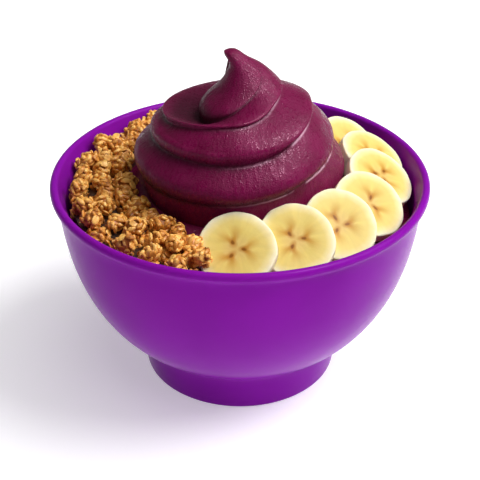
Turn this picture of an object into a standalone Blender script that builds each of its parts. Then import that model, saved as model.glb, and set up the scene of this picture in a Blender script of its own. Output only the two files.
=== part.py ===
"""Acai bowl: a footed bowl with a rolled lip, filled with acai that ends in a piped swirl, seven overlapping
banana slices leaning on the swirl, and a heap of granola along the wall.

Metres, Z up, the foot stands on z = 0 and the bowl's axis is the Z axis. The front of the dish faces -Y.
"""
import math

import bmesh
import bpy
from mathutils import Matrix, Vector

MM = 0.001
GAP = 0.3 * MM              # clearance between neighbouring solids

# bowl
BOWL_SIDES = 56
RIM_RADIUS = 75.0 * MM
BOWL_HEIGHT = 87.3 * MM
BODY_RADIUS = 72.6 * MM     # widest radius of the body under the lip
BODY_DEPTH = 87.5 * MM      # from the widest level down to the body's lowest point
BODY_LEVEL = 93.9 * MM      # level at which the body's curve would be widest
BODY_POWER = 2.49           # fullness of the body's curve
WALL = 2.8 * MM
LIP_WIDTH = 3.4 * MM
LIP_DROP = 3.6 * MM         # height of the rolled lip
FOOT_RADIUS = 40.5 * MM
FOOT_FLARE = 1.6 * MM       # the foot is this much wider where it meets the body
FOOT_RECESS_RADIUS = 32.0 * MM
FOOT_RECESS_DEPTH = 2.6 * MM

# acai
FILL_LEVEL = 71.5 * MM      # where the acai meets the wall
SWIRL_COLUMNS = 40
COIL_STEPS = (0.0, 0.05, 0.15, 0.32, 0.5, 0.68, 0.85, 0.95)
SWIRL_LOW = 0.1             # first and last turn of the piped coil
SWIRL_TOP = 3.75
# level of each turn: turns, height, radius, groove depth, sideways drift (mm)
SWIRL_TURNS = (
    (0.0, 88.0, 40.0, 3.0, 0.0),
    (0.5, 95.0, 41.2, 4.0, 0.0),
    (1.0, 104.0, 38.0, 4.2, 0.0),
    (1.5, 110.0, 34.0, 4.0, -1.0),
    (2.0, 115.0, 28.5, 3.8, -1.0),
    (2.5, 119.0, 22.0, 4.5, 0.5),
    (3.0, 125.0, 13.0, 3.0, 2.6),
    (3.4, 132.0, 7.0, 1.0, 1.4),
    (3.65, 137.0, 4.2, 0.2, -2.2),
    (3.75, 139.3, 0.0, 0.0, -3.4),
)

# granola heap along the wall, from the front round the left to the back
HEAP_START = math.radians(112.0)
HEAP_END = math.radians(258.0)
HEAP_COLUMNS = 26
HEAP_ROWS = 5
HEAP_FLOOR = 71.0 * MM
HEAP_TOP = 85.5 * MM
HEAP_LUMP = 2.2 * MM
HEAP_INNER = 40.0 * MM
HEAP_END_INNER = 54.0 * MM

# banana slices
SLICE_SIDES = 22
SLICE_RADIUS = 14.6 * MM
SLICE_THICK = 5.4 * MM
SLICE_EDGE = 0.7 * MM
# front to back: bearing, distance from the axis, height, lean bearing, lean elevation, size factor
SLICES = (
    (-91.5, 50.2, 82.7, -96.0, 52.0, 1.00),
    (-65.7, 49.4, 83.5, -88.0, 54.0, 1.00),
    (-43.7, 51.3, 84.5, -72.0, 54.0, 0.99),
    (-23.1, 53.8, 85.0, -54.0, 57.0, 0.99),
    (-1.6, 56.0, 86.5, -34.0, 60.0, 0.97),
    (14.2, 56.0, 88.0, -24.0, 62.0, 0.96),
    (27.6, 50.8, 87.2, -40.0, 50.0, 0.97),
)


def clear_scene():
    for obj in list(bpy.data.objects):
        bpy.data.objects.remove(obj, do_unlink=True)


def make_material(name, colour, roughness):
    material = bpy.data.materials.new(name)
    material.use_nodes = True
    shader = material.node_tree.nodes["Principled BSDF"]
    shader.inputs["Base Color"].default_value = (*colour, 1.0)
    shader.inputs["Roughness"].default_value = roughness
    return material


def add_object(name, bm, material=None):
    bmesh.ops.recalc_face_normals(bm, faces=bm.faces)
    mesh = bpy.data.meshes.new(name)
    bm.to_mesh(mesh)
    bm.free()
    obj = bpy.data.objects.new(name, mesh)
    bpy.context.scene.collection.objects.link(obj)
    if material:
        mesh.materials.append(material)
    return obj


def lathe(profile, sides):
    """Closed solid of revolution; the profile starts and ends on the axis."""
    bm = bmesh.new()
    first = bm.verts.new((0.0, 0.0, profile[0][1]))
    last = bm.verts.new((0.0, 0.0, profile[-1][1]))
    rings = []
    for radius, height in profile[1:-1]:
        ring = []
        for side in range(sides):
            turn = math.tau * side / sides
            ring.append(bm.verts.new((radius * math.cos(turn), radius * math.sin(turn), height)))
        rings.append(ring)
    for side in range(sides):
        after = (side + 1) % sides
        bm.faces.new((first, rings[0][side], rings[0][after]))
        bm.faces.new((last, rings[-1][after], rings[-1][side]))
        for low, high in zip(rings, rings[1:]):
            bm.faces.new((low[side], high[side], high[after], low[after]))
    return bm


def body_radius(height, inset=0.0):
    """Outer radius of the body at a height, less an inset."""
    share = min(1.0, max(0.0, (BODY_LEVEL - height) / (BODY_DEPTH - inset)))
    return (BODY_RADIUS - inset) * (1.0 - share ** BODY_POWER) ** (1.0 / BODY_POWER)


def body_height(radius, inset=0.0):
    """Height of the body's curve at a radius, less an inset."""
    share = min(1.0, radius / (BODY_RADIUS - inset))
    return BODY_LEVEL - (BODY_DEPTH - inset) * (1.0 - share ** BODY_POWER) ** (1.0 / BODY_POWER)


def bowl_profile():
    foot_top = FOOT_RADIUS + FOOT_FLARE
    profile = [(0.0, FOOT_RECESS_DEPTH)]
    profile.append((FOOT_RECESS_RADIUS - 1.5 * MM, FOOT_RECESS_DEPTH))
    profile.append((FOOT_RECESS_RADIUS, 0.0))
    profile.append((FOOT_RADIUS - 0.8 * MM, 0.0))
    profile.append((FOOT_RADIUS, 0.8 * MM))
    profile.append((foot_top, body_height(foot_top) - 1.6 * MM))
    profile.append((foot_top + 1.6 * MM, body_height(foot_top + 1.6 * MM)))
    for radius in (50.0, 56.0, 61.0, 65.0, 68.0, 70.2):
        profile.append((radius * MM, body_height(radius * MM)))
    lip_base = BOWL_HEIGHT - LIP_DROP
    profile.append((body_radius(lip_base - 6.0 * MM), lip_base - 6.0 * MM))
    profile.append((body_radius(lip_base), lip_base - 1.4 * MM))
    profile.append((body_radius(lip_base) + 0.9 * MM, lip_base))
    centre = (RIM_RADIUS - 0.5 * LIP_WIDTH, BOWL_HEIGHT - 0.5 * LIP_DROP)
    for step in range(7):
        turn = math.radians(-55.0 + 38.0 * step)
        across = centre[0] + 0.5 * LIP_WIDTH * math.cos(turn)
        profile.append((across, centre[1] + 0.5 * LIP_DROP * math.sin(turn)))
    for height in (80.0, 70.0, 55.0, 42.0, 31.0, 22.0, 16.0, 12.0):
        profile.append((body_radius(height * MM, WALL), height * MM))
    profile.append((0.0, body_height(0.0, WALL)))
    return profile


def acai_wall():
    """Outline of the fill against the bowl, from the axis up to the fill level."""
    outline = [(0.0, body_height(0.0, WALL) + GAP)]
    for height in (12.0, 16.0, 22.0, 31.0, 42.0, 55.0):
        outline.append((body_radius(height * MM, WALL) - GAP * 1.4, height * MM + GAP))
    outline.append((body_radius(FILL_LEVEL, WALL) - GAP * 1.4, FILL_LEVEL))
    return outline


def turn_values(turns):
    """Smoothly blended height, radius, groove depth and drift of the swirl."""
    rows = SWIRL_TURNS
    turns = min(max(turns, rows[0][0]), rows[-1][0])
    index = 0
    while index < len(rows) - 2 and turns > rows[index + 1][0]:
        index += 1
    before, start = rows[max(index - 1, 0)], rows[index]
    end, after = rows[index + 1], rows[min(index + 2, len(rows) - 1)]
    span = end[0] - start[0]
    share = (turns - start[0]) / span
    values = []
    for column in range(1, 5):
        slope_in = (end[column] - before[column]) / max(end[0] - before[0], 1e-6) * span
        slope_out = (after[column] - start[column]) / max(after[0] - start[0], 1e-6) * span
        square, cube = share ** 2, share ** 3
        blend = (2 * cube - 3 * square + 1) * start[column] + (cube - 2 * square + share) * slope_in
        blend += (3 * square - 2 * cube) * end[column] + (cube - square) * slope_out
        values.append(blend * MM)
    return values


def swirl_point(turns, bearing):
    """Point of the piped coil at a level in turns and a bearing."""
    height, radius, groove, drift = turn_values(turns)
    phase = (turns - bearing / math.tau + 0.5) % 1.0
    if phase > 0.9999:
        phase = 0.0
    bulge = math.sin(math.pi * phase) ** 0.6
    reach = max(radius - groove * (1.0 - bulge), 0.0)
    return (drift + reach * math.cos(bearing), reach * math.sin(bearing), height)


def make_acai(material):
    """One body: the fill inside the bowl and the coil piped on it."""
    bm = bmesh.new()
    steps = len(COIL_STEPS)
    rows = int((SWIRL_TOP + 2.5) * steps)
    grid = []
    for column in range(SWIRL_COLUMNS):
        bearing = math.tau * column / SWIRL_COLUMNS
        line = []
        for row in range(rows):
            coil, step = divmod(row, steps)
            turns = coil - 1.5 + COIL_STEPS[step] + bearing / math.tau
            turns = min(max(turns, SWIRL_LOW), SWIRL_TOP)
            line.append(bm.verts.new(swirl_point(turns, bearing)))
        grid.append(line)
    for column in range(SWIRL_COLUMNS):
        shift = steps if column == SWIRL_COLUMNS - 1 else 0
        here, there = grid[column], grid[(column + 1) % SWIRL_COLUMNS]
        for row in range(rows - 1):
            far = row + shift
            if far + 1 < rows:
                bm.faces.new((here[row], there[far], there[far + 1], here[row + 1]))
    below = [swirl_ring(bm, SWIRL_LOW)]
    height, radius = turn_values(SWIRL_LOW)[:2]
    for share, drop in ((0.08, 0.45), (0.3, 0.8), (0.6, 0.95)):
        reach = radius - 2.0 * MM + share * (body_radius(FILL_LEVEL, WALL) - radius)
        level = height - drop * (height - FILL_LEVEL)
        below.append(plain_ring(bm, reach, level))
    for reach, level in reversed(acai_wall()[1:]):
        below.append(plain_ring(bm, reach, level))
    for upper, lower in zip(below, below[1:]):
        for column in range(SWIRL_COLUMNS):
            after = (column + 1) % SWIRL_COLUMNS
            bm.faces.new((upper[column], lower[column], lower[after], upper[after]))
    bottom = bm.verts.new((0.0, 0.0, acai_wall()[0][1]))
    for column in range(SWIRL_COLUMNS):
        bm.faces.new((below[-1][column], bottom, below[-1][(column + 1) % SWIRL_COLUMNS]))
    bmesh.ops.remove_doubles(bm, verts=bm.verts, dist=0.00002)
    bmesh.ops.dissolve_degenerate(bm, edges=bm.edges, dist=0.00001)
    return add_object("acai", bm, material)


def plain_ring(bm, radius, height):
    ring = []
    for column in range(SWIRL_COLUMNS):
        bearing = math.tau * column / SWIRL_COLUMNS
        ring.append(bm.verts.new((radius * math.cos(bearing), radius * math.sin(bearing), height)))
    return ring


def swirl_ring(bm, turns):
    ring = []
    for column in range(SWIRL_COLUMNS):
        ring.append(bm.verts.new(swirl_point(turns, math.tau * column / SWIRL_COLUMNS)))
    return ring


def heap_point(along, across, grow):
    """Point of the heap's uneven top: along the wall 0 to 1, from the inner edge to the wall 0 to 1."""
    bearing = HEAP_START + along * (HEAP_END - HEAP_START)
    bearing += (along - 0.5) * 2.0 * grow / (50.0 * MM)
    ends = math.sin(math.pi * min(max(along, 0.0), 1.0)) ** 0.35
    ragged = 2.0 * MM * math.sin(9.0 * bearing) + 1.4 * MM * math.sin(17.0 * bearing + 1.0)
    inner = HEAP_END_INNER + (HEAP_INNER - HEAP_END_INNER) * ends + ragged * ends - grow
    outer = body_radius(HEAP_TOP, WALL) - 1.2 * MM
    radius = inner + across * (outer - inner)
    lump = math.sin(23.0 * bearing + 40.0 * across) + 0.7 * math.sin(31.0 * bearing - 5.0 * across)
    level = HEAP_TOP + HEAP_LUMP * 0.6 * lump - 1.5 * MM * (1.0 - ends) * 3.0
    level += 2.0 * MM * math.sin(math.pi * across)
    return radius * math.cos(bearing), radius * math.sin(bearing), level


def make_heap(name, material, grow=0.0):
    """Heap of granola as one closed body with a flat hidden underside."""
    bm = bmesh.new()
    top, low = [], []
    for column in range(HEAP_COLUMNS + 1):
        line_top, line_low = [], []
        for row in range(HEAP_ROWS + 1):
            x, y, level = heap_point(column / HEAP_COLUMNS, row / HEAP_ROWS, grow)
            line_top.append(bm.verts.new((x, y, level + grow)))
            pull = 1.0 if row < HEAP_ROWS else 1.0 - 0.9 * MM / math.hypot(x, y)
            line_low.append(bm.verts.new((x * pull, y * pull, HEAP_FLOOR - grow)))
        top.append(line_top)
        low.append(line_low)
    for column in range(HEAP_COLUMNS):
        for row in range(HEAP_ROWS):
            after, up = column + 1, row + 1
            bm.faces.new((top[column][row], top[column][up], top[after][up], top[after][row]))
            bm.faces.new((low[column][row], low[after][row], low[after][up], low[column][up]))
        for row in (0, HEAP_ROWS):
            after = column + 1
            bm.faces.new((top[column][row], top[after][row], low[after][row], low[column][row]))
    for column in (0, HEAP_COLUMNS):
        for row in range(HEAP_ROWS):
            up = row + 1
            bm.faces.new((top[column][row], top[column][up], low[column][up], low[column][row]))
    return add_object(name, bm, material)


def make_slice(name, entry, number, material, grow=0.0):
    """Banana slice: a slightly uneven disc with softened edges, its upper face at the given place."""
    bearing, distance, height, lean, elevation, factor = entry
    radius = SLICE_RADIUS * factor + grow
    thick = SLICE_THICK
    profile = (
        (radius - SLICE_EDGE, grow),
        (radius, grow - SLICE_EDGE),
        (radius, SLICE_EDGE - thick - grow),
        (radius - SLICE_EDGE, -thick - grow),
    )
    bm = bmesh.new()
    rings = []
    for reach, level in profile:
        ring = []
        for side in range(SLICE_SIDES):
            turn = math.tau * side / SLICE_SIDES
            uneven = 1.0 + 0.012 * math.cos(3.0 * turn + number) + 0.008 * math.cos(5.0 * turn + 2 * number)
            ring.append(bm.verts.new((reach * uneven * math.cos(turn), reach * uneven * math.sin(turn), level)))
        rings.append(ring)
    upper = bm.verts.new((0.0, 0.0, grow))
    lower = bm.verts.new((0.0, 0.0, -thick - grow))
    for side in range(SLICE_SIDES):
        after = (side + 1) % SLICE_SIDES
        bm.faces.new((upper, rings[0][side], rings[0][after]))
        bm.faces.new((lower, rings[-1][after], rings[-1][side]))
        for first, second in zip(rings, rings[1:]):
            bm.faces.new((first[side], second[side], second[after], first[after]))
    lean, elevation = math.radians(lean), math.radians(elevation)
    facing = Vector((math.cos(elevation) * math.cos(lean), math.cos(elevation) * math.sin(lean),
                     math.sin(elevation)))
    place = Vector((distance * MM * math.cos(math.radians(bearing)),
                    distance * MM * math.sin(math.radians(bearing)), height * MM))
    turn = facing.to_track_quat("Z", "Y").to_matrix().to_4x4()
    bmesh.ops.transform(bm, matrix=Matrix.Translation(place) @ turn, verts=bm.verts)
    return add_object(name, bm, material)


def cut(target, cutter):
    cutter.hide_render = True
    cutter.display_type = "WIRE"
    modifier = target.modifiers.new("cut", "BOOLEAN")
    modifier.operation = "DIFFERENCE"
    modifier.solver = "EXACT"
    modifier.object = cutter


def bake(target):
    """Apply the cuts of a piece so that it is one plain mesh."""
    graph = bpy.context.evaluated_depsgraph_get()
    mesh = bpy.data.meshes.new_from_object(target.evaluated_get(graph))
    target.modifiers.clear()
    target.data = mesh
    keep_main_body(mesh)


def keep_main_body(mesh):
    """Drop slivers that a cut leaves loose beside the main body."""
    bm = bmesh.new()
    bm.from_mesh(mesh)
    bmesh.ops.remove_doubles(bm, verts=bm.verts, dist=0.00002)
    waiting = set(bm.verts)
    groups = []
    while waiting:
        group = set()
        edge = [waiting.pop()]
        while edge:
            vert = edge.pop()
            group.add(vert)
            for link in vert.link_edges:
                other = link.other_vert(vert)
                if other in waiting:
                    waiting.remove(other)
                    edge.append(other)
        groups.append(group)
    groups.sort(key=len)
    for group in groups[:-1]:
        bmesh.ops.delete(bm, geom=list(group), context="VERTS")
    bmesh.ops.triangulate(bm, faces=bm.faces)
    bm.to_mesh(mesh)
    bm.free()


def main():
    clear_scene()
    purple = make_material("glazed_bowl", (0.18, 0.012, 0.26), 0.2)
    berry = make_material("acai_puree", (0.11, 0.012, 0.035), 0.35)
    toasted = make_material("granola_heap", (0.42, 0.18, 0.05), 0.7)
    cream = make_material("banana_flesh", (0.85, 0.68, 0.32), 0.45)

    add_object("bowl", lathe(bowl_profile(), BOWL_SIDES), purple)

    slices, cutters = [], []
    for number, entry in enumerate(SLICES):
        slices.append(make_slice("banana_%d" % (number + 1), entry, number, cream))
        cutters.append(make_slice("slice_space_%d" % (number + 1), entry, number, None, GAP))
    for number in range(1, len(slices)):
        for earlier in range(max(0, number - 2), number):
            cut(slices[number], cutters[earlier])

    granola = make_heap("granola", toasted)
    heap_space = make_heap("heap_space", None, GAP)
    acai = make_acai(berry)
    cut(granola, cutters[0])
    cut(acai, heap_space)
    for cutter in cutters:
        cut(acai, cutter)
    for piece in slices + [granola, acai]:
        bake(piece)
    for helper in cutters + [heap_space]:
        bpy.data.objects.remove(helper, do_unlink=True)


main()
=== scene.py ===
import bpy
import math
import random
from mathutils import Matrix, Vector, noise


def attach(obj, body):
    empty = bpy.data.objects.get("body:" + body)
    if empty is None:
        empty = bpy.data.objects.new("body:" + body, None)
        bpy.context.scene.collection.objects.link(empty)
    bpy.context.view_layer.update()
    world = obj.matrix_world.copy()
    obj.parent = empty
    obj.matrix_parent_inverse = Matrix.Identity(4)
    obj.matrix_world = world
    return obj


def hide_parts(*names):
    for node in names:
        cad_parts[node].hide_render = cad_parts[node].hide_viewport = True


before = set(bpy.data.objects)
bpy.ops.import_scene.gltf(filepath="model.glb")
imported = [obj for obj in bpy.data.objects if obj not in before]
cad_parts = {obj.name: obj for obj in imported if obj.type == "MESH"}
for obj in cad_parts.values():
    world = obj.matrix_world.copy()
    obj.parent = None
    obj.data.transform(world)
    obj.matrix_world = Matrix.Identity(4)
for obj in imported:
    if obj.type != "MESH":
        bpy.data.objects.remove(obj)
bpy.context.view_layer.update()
mm = 0.001
chance = random.Random(7)


# sRGB hex to linear, the only way colours get in
def linear(hexColour):
    values = []
    for start in (0, 2, 4):
        part = int(hexColour.lstrip("#")[start:start + 2], 16) / 255
        values.append(part / 12.92 if part <= 0.04045 else ((part + 0.055) / 1.055) ** 2.4)
    return (*values, 1.0)


# one node with its settings and what feeds it; a noise scale is in cells a metre, so 1000 is 1 mm
def addNode(tree, kind, settings=None, links=None):
    node = tree.nodes.new(kind)
    for key, value in (settings or {}).items():
        if isinstance(key, int) or key in node.inputs:
            node.inputs[key].default_value = value
        else:
            setattr(node, key, value)
    for key, socket in (links or {}).items():
        tree.links.new(socket, node.inputs[key])
    return node


def newMaterial(name):
    material = bpy.data.materials.new(name)
    material.use_nodes = True
    tree = material.node_tree
    return material, tree, tree.nodes["Principled BSDF"]


# colour ramp stops: (place, hex)
def setStops(ramp, stops):
    band = ramp.color_ramp
    while len(band.elements) > 2:
        band.elements.remove(band.elements[1])
    for index, (place, colour) in enumerate(stops):
        if index < 2:
            stop = band.elements[index]
            stop.position = place
        else:
            stop = band.elements.new(place)
        stop.color = linear(colour)


def deselectAll():
    if bpy.context.mode != "OBJECT":
        bpy.ops.object.mode_set(mode="OBJECT")
    bpy.ops.object.select_all(action="DESELECT")


def pick(piece):
    deselectAll()
    piece.select_set(True)
    bpy.context.view_layer.objects.active = piece


def applyModifiers(piece):
    pick(piece)
    for modifier in list(piece.modifiers):
        bpy.ops.object.modifier_apply(modifier=modifier.name)


# place goes into the mesh, the object stays at the origin
def settle(piece):
    pick(piece)
    bpy.ops.object.transform_apply(location=True, rotation=True, scale=True)


def finishPiece(piece, name, material, nodes):
    piece.name = name
    piece.data.name = name
    piece.data.materials.clear()
    piece.data.materials.append(material)
    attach(piece, "root")
    if nodes:
        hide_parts(*nodes)


# the bowl: stoneware, turned, dipped in a satin purple glaze
bowl = {
    "sides": 144,
    "rimRadius": 75.0 * mm,
    "height": 87.3 * mm,
    "bodyRadius": 72.6 * mm,
    "bodyDepth": 87.5 * mm,
    "bodyLevel": 93.9 * mm,
    "bodyPower": 2.49,
    "wall": 2.8 * mm,
    "lipWidth": 3.4 * mm,
    "lipDrop": 3.6 * mm,
    "footRadius": 40.5 * mm,
    "footFlare": 1.6 * mm,
    "recessRadius": 32.0 * mm,
    "recessDepth": 2.6 * mm,
    # where the turned outline has a ring, in mm: distance outside, height inside
    "outerRings": (43.4, 45.0, 47.0, 49.5, 52.0, 54.5, 57.0, 59.5, 62.0, 64.2, 66.0, 67.5, 68.8, 69.8),
    "innerRings": (81.0, 78.0, 73.0, 68.0, 62.0, 55.0, 48.0, 41.0, 34.0, 28.0, 23.0, 19.0, 16.0, 13.5,
                   11.6, 10.2),
}


# the body's outline is a squared-off ellipse; inset is how far inside the outer skin
def bodyRadius(height, inset=0.0):
    share = min(1.0, max(0.0, (bowl["bodyLevel"] - height) / (bowl["bodyDepth"] - inset)))
    power = bowl["bodyPower"]
    return (bowl["bodyRadius"] - inset) * (1.0 - share ** power) ** (1.0 / power)


def bodyHeight(radius, inset=0.0):
    power = bowl["bodyPower"]
    share = min(1.0, radius / (bowl["bodyRadius"] - inset))
    return bowl["bodyLevel"] - (bowl["bodyDepth"] - inset) * (1.0 - share ** power) ** (1.0 / power)


def bowlRings():
    footTop = bowl["footRadius"] + bowl["footFlare"]
    recess, depth = bowl["recessRadius"], bowl["recessDepth"]
    rings = [(1.0 * mm, depth), (recess - 2.2 * mm, depth), (recess - 1.2 * mm, depth - 0.5 * mm)]
    rings += [(recess - 0.4 * mm, 0.5 * mm), (recess + 0.2 * mm, 0.0), (bowl["footRadius"] - 1.3 * mm, 0.0)]
    for step in range(1, 4):
        turn = math.radians(30 * step)
        rings.append((bowl["footRadius"] - (1 - math.sin(turn)) * mm, (1 - math.cos(turn)) * mm))
    join = bodyHeight(footTop)
    for share in (0.25, 0.5, 0.75):
        rings.append((bowl["footRadius"] + share * bowl["footFlare"], mm + share * (join - 3.0 * mm)))
    # small fillet where the foot meets the body
    rings.append((footTop - 0.1 * mm, join - 1.7 * mm))
    rings.append((footTop + 0.35 * mm, join - 0.7 * mm))
    for radius in bowl["outerRings"]:
        rings.append((radius * mm, bodyHeight(radius * mm)))
    lipBase = bowl["height"] - bowl["lipDrop"]
    for drop in (15.0, 10.0, 6.0, 3.4):
        rings.append((bodyRadius(lipBase - drop * mm), lipBase - drop * mm))
    # small hollow under the lip
    rings.append((bodyRadius(lipBase) + 0.15 * mm, lipBase - 1.6 * mm))
    rings.append((bodyRadius(lipBase) + 0.55 * mm, lipBase - 0.3 * mm))
    # rolled lip, from under its outer edge over the top to the inside
    middle = (bowl["rimRadius"] - 0.5 * bowl["lipWidth"], bowl["height"] - 0.5 * bowl["lipDrop"])
    for step in range(15):
        turn = math.radians(-52 + 16.2 * step)
        across = middle[0] + 0.5 * bowl["lipWidth"] * math.cos(turn)
        rings.append((across, middle[1] + 0.5 * bowl["lipDrop"] * math.sin(turn)))
    for height in bowl["innerRings"]:
        rings.append((bodyRadius(height * mm, bowl["wall"]), height * mm))
    rings.append((1.0 * mm, bodyHeight(0.0, bowl["wall"])))
    return rings


# a disc is drawn up ring by ring: extrude, then scale to the next radius
def turnSolid(rings, sides):
    deselectAll()
    radius, height = rings[0]
    bpy.ops.mesh.primitive_circle_add(vertices=sides, radius=radius, fill_type="NGON",
                                      location=(0, 0, height))
    piece = bpy.context.object
    settle(piece)
    bpy.ops.object.mode_set(mode="EDIT")
    bpy.ops.mesh.select_all(action="SELECT")
    for newRadius, newHeight in rings[1:]:
        bpy.ops.mesh.extrude_region_move(TRANSFORM_OT_translate={"value": (0, 0, newHeight - height)})
        factor = newRadius / radius
        bpy.ops.transform.resize(value=(factor, factor, 1), center_override=(0, 0, newHeight))
        radius, height = newRadius, newHeight
    bpy.ops.mesh.select_all(action="SELECT")
    bpy.ops.mesh.normals_make_consistent(inside=False)
    bpy.ops.object.mode_set(mode="OBJECT")
    return piece


# stoneware under a glaze: deep even purple with 45 mm clouds, satin gloss, very slight waviness where
# the glaze pooled, 9 mm apart; the IOR is well below glass, so that the pale floor doesn't bleach it
def makeGlaze():
    material, tree, shader = newMaterial("purpleSatinGlaze")
    place = addNode(tree, "ShaderNodeTexCoord").outputs["Object"]
    cloud = addNode(tree, "ShaderNodeTexNoise", {"Scale": 22.0, "Detail": 3.0}, {"Vector": place})
    tone = addNode(tree, "ShaderNodeValToRGB", None, {"Fac": cloud.outputs["Fac"]})
    setStops(tone, ((0.35, "#7e1198"), (0.68, "#8715a3")))
    tree.links.new(tone.outputs["Color"], shader.inputs["Base Color"])
    pool = addNode(tree, "ShaderNodeTexNoise", {"Scale": 110.0, "Detail": 2.0}, {"Vector": place})
    gloss = addNode(tree, "ShaderNodeMapRange", {"To Min": 0.20, "To Max": 0.27},
                    {"Value": pool.outputs["Fac"]})
    tree.links.new(gloss.outputs["Result"], shader.inputs["Roughness"])
    wave = addNode(tree, "ShaderNodeBump", {"Strength": 0.12, "Distance": 0.0003},
                   {"Height": pool.outputs["Fac"]})
    tree.links.new(wave.outputs["Normal"], shader.inputs["Normal"])
    shader.inputs["IOR"].default_value = 1.13
    shader.inputs["Specular Tint"].default_value = linear("#eab0ff")
    return material


bowlPiece = turnSolid(bowlRings(), bowl["sides"])
bpy.ops.object.shade_smooth_by_angle(angle=math.radians(50))
finishPiece(bowlPiece, "bowlTurned", makeGlaze(), ["bowl"])
print("bowl turned")


# the acai: frozen berry puree, piped as one rope in a rising coil
swirl = {
    "perTurn": 150,
    "rows": 24,
    "firstTurn": -1.0,
    # groove under the rope: turn, distance from the axis, height, how sharp it is
    "groove": (
        (-1.0, 37.5, 76.5, 1.0), (-0.6, 35.0, 77.0, 1.0), (-0.3, 36.5, 78.0, 1.0),
        (0.0, 38.5, 82.0, 1.0), (0.25, 38.5, 86.0, 1.0), (0.5, 38.8, 90.5, 1.0),
        (0.65, 38.4, 92.0, 1.0), (0.75, 38.0, 93.5, 1.0), (0.82, 38.0, 96.0, 1.0),
        (0.89, 37.5, 99.5, 1.0), (1.0, 36.3, 101.5, 1.0), (1.25, 35.5, 103.5, 1.0),
        (1.45, 35.3, 106.0, 1.0), (1.55, 35.3, 105.8, 1.0), (1.65, 34.5, 106.5, 1.0),
        (1.75, 33.4, 106.8, 1.0), (1.82, 32.8, 109.5, 1.0), (1.87, 31.0, 113.0, 1.0),
        (1.92, 28.8, 116.0, 1.0), (2.0, 26.0, 117.0, 1.0), (2.15, 27.0, 113.5, 1.0),
        (2.35, 29.0, 111.0, 1.0), (2.5, 29.5, 112.3, 0.8), (2.62, 28.8, 116.0, 0.6),
        (2.71, 27.6, 118.6, 0.7), (2.76, 25.5, 119.3, 1.0), (2.81, 21.5, 120.5, 1.0),
        (2.87, 16.8, 122.5, 1.0), (3.0, 14.5, 124.5, 1.0), (3.15, 12.5, 124.0, 0.9),
        (3.3, 13.0, 119.0, 1.0), (3.4, 14.5, 114.5, 1.0), (3.5, 16.0, 112.0, 1.0),
        (3.6, 18.0, 113.5, 1.0), (3.68, 18.0, 117.5, 0.8), (3.75, 14.5, 123.0, 0.4),
        (3.85, 9.5, 129.5, 0.1), (3.95, 4.0, 136.0, 0.0), (4.05, 0.0, 139.2, 0.0),
    ),
    # widest line of the rope: turn, distance from the axis, height
    "crest": (
        (-1.0, 39.3, 79.5), (-0.75, 39.5, 82.5), (-0.6, 38.6, 86.5), (-0.4, 38.0, 86.5),
        (-0.25, 37.2, 86.0), (-0.15, 37.4, 88.5), (-0.08, 39.0, 90.0), (0.0, 41.4, 91.0),
        (0.25, 42.0, 95.0), (0.5, 41.5, 98.2), (0.75, 39.8, 98.5), (0.82, 39.8, 101.0),
        (0.9, 39.0, 104.0), (1.0, 37.6, 106.0), (1.25, 37.0, 107.0), (1.5, 35.7, 109.3),
        (1.65, 35.2, 111.0), (1.75, 34.2, 112.0), (1.85, 32.4, 115.0), (1.92, 29.8, 118.2),
        (2.0, 27.0, 119.5), (2.15, 28.5, 116.5), (2.35, 30.2, 114.0), (2.5, 30.0, 115.2),
        (2.62, 29.3, 118.0), (2.72, 28.2, 120.3), (2.78, 25.0, 121.8), (2.85, 19.5, 123.8),
        (2.93, 16.5, 125.5), (3.0, 15.5, 126.0), (3.15, 12.8, 127.5), (3.3, 11.2, 126.0),
        (3.4, 10.4, 124.5), (3.5, 10.6, 122.5), (3.6, 12.6, 121.5), (3.68, 14.6, 122.5),
        (3.75, 13.5, 125.5), (3.85, 9.6, 130.5), (3.95, 4.4, 136.2), (4.05, 0.0, 139.2),
    ),
    # plain cone that the last turn runs out into: height, radius
    "cone": (
        (112.0, 29.0), (118.0, 25.5), (120.5, 22.0), (122.0, 18.6), (124.0, 14.6), (127.0, 11.0),
        (130.5, 8.3), (133.0, 6.2), (135.5, 4.3), (137.0, 3.8), (138.2, 3.0), (138.9, 1.9),
        (139.2, 0.0),
    ),
    # sideways lean of the top: height, shift
    "lean": (
        (60.0, 0.0), (116.0, 0.0), (121.0, 1.4), (127.0, 2.5), (130.5, 2.3), (133.0, 1.6),
        (135.5, -0.8), (137.0, -2.2), (138.2, -3.1), (139.2, -3.7),
    ),
    # how far the coils have sunk in: height, distance
    "sunk": (
        (60.0, 0.0), (94.0, 0.0), (99.0, 0.4), (103.0, 1.3), (107.0, 1.6), (110.0, 1.4), (113.0, 0.8),
        (117.0, 0.6), (121.0, 1.6), (124.0, 2.6), (128.0, 2.4), (131.0, 2.2), (135.0, 2.0),
        (137.5, 1.5), (139.2, 0.0),
    ),
    "roundness": 4.0,
    # how much the valleys between the coils are rounded out
    "softness": ((-1.0, 0.7), (1.6, 0.7), (2.2, 0.92), (4.1, 0.92)),
    # top of the fill round the coil
    "base": {"radius": 68.2 * mm, "level": 71.5 * mm},
    "fillSides": 120,
    # the fill's rise under the coil, in mm: distance from the axis, height
    "rise": (
        (62.0, 71.8), (56.0, 72.6), (51.0, 74.2), (47.0, 76.6), (43.5, 79.5), (40.0, 82.0), (30.0, 83.0),
    ),
}


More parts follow.
